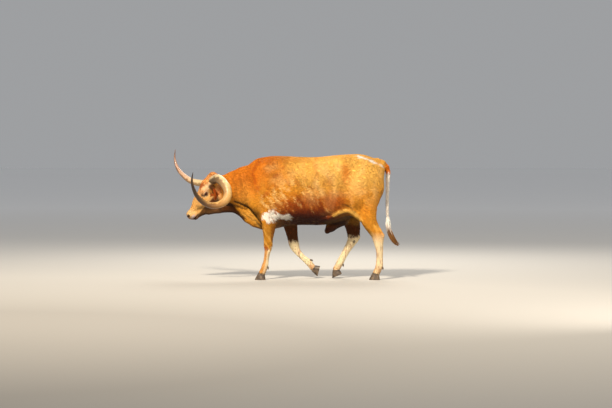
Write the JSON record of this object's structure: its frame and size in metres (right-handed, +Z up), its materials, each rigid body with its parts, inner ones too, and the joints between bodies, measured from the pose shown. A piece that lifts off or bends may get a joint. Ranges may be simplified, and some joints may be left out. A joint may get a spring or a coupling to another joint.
{
  "type": "longhorn steer model",
  "caption": "Life-size still model of a Texas longhorn steer, walking with its head low, for display in a museum.",
  "frame": {"origin": "on the floor, under the middle of the bounding box", "axes": "+X towards the tail, -X towards the muzzle, -Y on the animal's left, the side that the picture shows, +Z up"},
  "size_m": [2.7253, 1.3938, 1.5344],
  "materials": {
    "coat": "short orange-tan hair",
    "pale_coat": "short cream hair",
    "white_hair": "long white and brown hair",
    "horn": "satin ivory horn",
    "hoof": "dull dark horn",
    "eye": "wet gloss"
  },
  "bodies": {
    "root": {"head": "coat", "ear_left": "coat", "ear_right": "coat", "eye_left": "eye", "eye_right": "eye", "horn_left": "horn", "horn_right": "horn", "neck": "coat", "torso": "coat", "leg_fore_left": "pale_coat", "leg_fore_right": "pale_coat", "leg_hind_left": "pale_coat", "leg_hind_right": "pale_coat", "claw_fore_left_inner": "hoof", "claw_fore_left_outer": "hoof", "claw_fore_right_inner": "hoof", "claw_fore_right_outer": "hoof", "claw_hind_left_inner": "hoof", "claw_hind_left_outer": "hoof", "claw_hind_right_inner": "hoof", "claw_hind_right_outer": "hoof", "tail": "white_hair", "tail_switch": "white_hair"}
  },
  "joints": []
}
